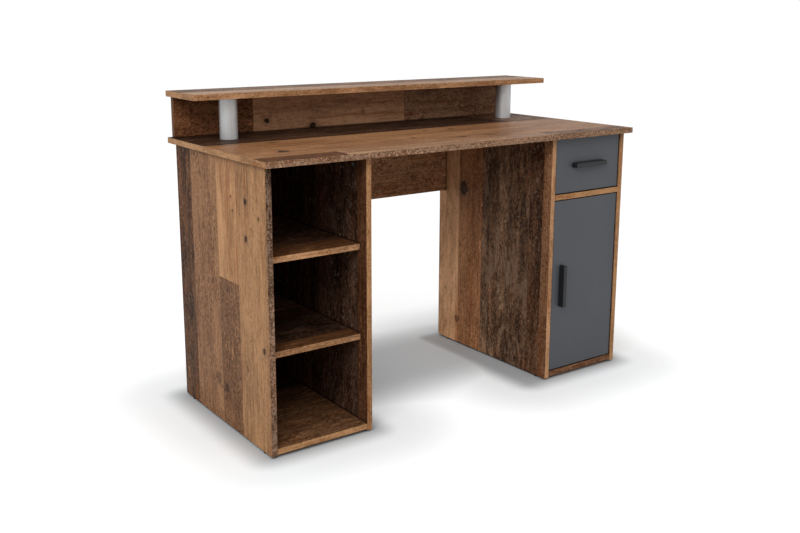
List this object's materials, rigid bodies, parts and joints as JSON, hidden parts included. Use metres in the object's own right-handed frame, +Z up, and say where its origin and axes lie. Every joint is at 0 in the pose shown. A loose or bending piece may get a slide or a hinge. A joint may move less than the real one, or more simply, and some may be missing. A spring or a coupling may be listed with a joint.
{
  "type": "computer desk",
  "caption": "Twin-pedestal computer desk in reclaimed-wood decor: open shelves left, drawer over door right, knee space and a raised monitor shelf on round posts.",
  "frame": {"origin": "on the floor under the centre of the desktop", "axes": "+X to the sitter's right along the desk's width, +Y to the rear, +Z up"},
  "size_m": [1.25, 0.58, 0.88],
  "materials": {
    "reclaimed_wood": "matt printed old-plank decor with a fine pore",
    "graphite_board": "matt graphite laminate",
    "hardboard": "thin hardboard with a printed face",
    "drawer_board": "pale laminate",
    "satin_aluminium": "satin",
    "black_handle": "satin black",
    "runner_enamel": "white epoxy enamel",
    "white_plastic": "moulded",
    "dark_plastic": "moulded",
    "zinc_steel": "zinc plated"
  },
  "bodies": {
    "carcase": {"desktop": "reclaimed_wood", "monitor_shelf": "reclaimed_wood", "rear_upper_panel": "reclaimed_wood", "left_outer_side": "reclaimed_wood", "left_inner_side": "reclaimed_wood", "left_bottom": "reclaimed_wood", "left_lower_shelf": "reclaimed_wood", "left_upper_shelf": "reclaimed_wood", "right_inner_side": "reclaimed_wood", "right_outer_side": "reclaimed_wood", "right_bottom": "reclaimed_wood", "drawer_divider": "reclaimed_wood", "cabinet_shelf": "reclaimed_wood", "modesty_rail": "reclaimed_wood", "left_back_panel": "hardboard", "right_back_panel": "hardboard", "post_tubes": "satin_aluminium", "cabinet_runner_left": "runner_enamel", "cabinet_runner_right": "runner_enamel", "glides": "dark_plastic", "door_catch": "dark_plastic", "shelf_pins": "zinc_steel", "cabinet_roller_axles": "zinc_steel", "door_pivot_pins": "zinc_steel"},
    "drawer": {"drawer_front": "graphite_board", "drawer_side_left": "drawer_board", "drawer_side_right": "drawer_board", "drawer_back": "drawer_board", "drawer_bottom": "hardboard", "drawer_handle": "black_handle", "drawer_runner_left": "runner_enamel", "drawer_runner_right": "runner_enamel", "drawer_roller_axles": "zinc_steel"},
    "door": {"door_panel": "graphite_board", "door_handle": "black_handle", "door_bushes": "white_plastic", "catch_strike": "zinc_steel"},
    "front_roller_left": {"cabinet_roller_left": "white_plastic"},
    "front_roller_right": {"cabinet_roller_right": "white_plastic"},
    "rear_roller_left": {"drawer_roller_left": "white_plastic"},
    "rear_roller_right": {"drawer_roller_right": "white_plastic"}
  },
  "joints": [
    {"name": "drawer_slide", "type": "slide", "parent": "carcase", "child": "drawer", "axis": [0, -1, 0], "range_m": [0, 0.3]},
    {"name": "door_swing", "type": "hinge", "parent": "carcase", "child": "door", "pos_m": [0.582, -0.254, 0.2885], "axis": [0, 0, 1], "range_deg": [0, 105]},
    {"name": "front_roller_left_spin", "type": "hinge", "parent": "carcase", "child": "front_roller_left", "pos_m": [0.33645, -0.232, 0.60755], "axis": [1, 0, 0], "range_deg": [0, 1912]},
    {"name": "rear_roller_left_spin", "type": "hinge", "parent": "drawer", "child": "rear_roller_left", "pos_m": [0.33645, 0.1425, 0.6071], "axis": [1, 0, 0], "range_deg": [0, 1912]},
    {"name": "front_roller_right_spin", "type": "hinge", "parent": "carcase", "child": "front_roller_right", "pos_m": [0.59355, -0.232, 0.60755], "axis": [1, 0, 0], "range_deg": [0, 1912]},
    {"name": "rear_roller_right_spin", "type": "hinge", "parent": "drawer", "child": "rear_roller_right", "pos_m": [0.59355, 0.1425, 0.6071], "axis": [1, 0, 0], "range_deg": [0, 1912]}
  ],
  "couplings": [
    {"joint": "front_roller_left_spin", "follows": "drawer_slide", "rad_per_m": 111.11},
    {"joint": "rear_roller_left_spin", "follows": "drawer_slide", "rad_per_m": 111.11},
    {"joint": "front_roller_right_spin", "follows": "drawer_slide", "rad_per_m": 111.11},
    {"joint": "rear_roller_right_spin", "follows": "drawer_slide", "rad_per_m": 111.11}
  ]
}
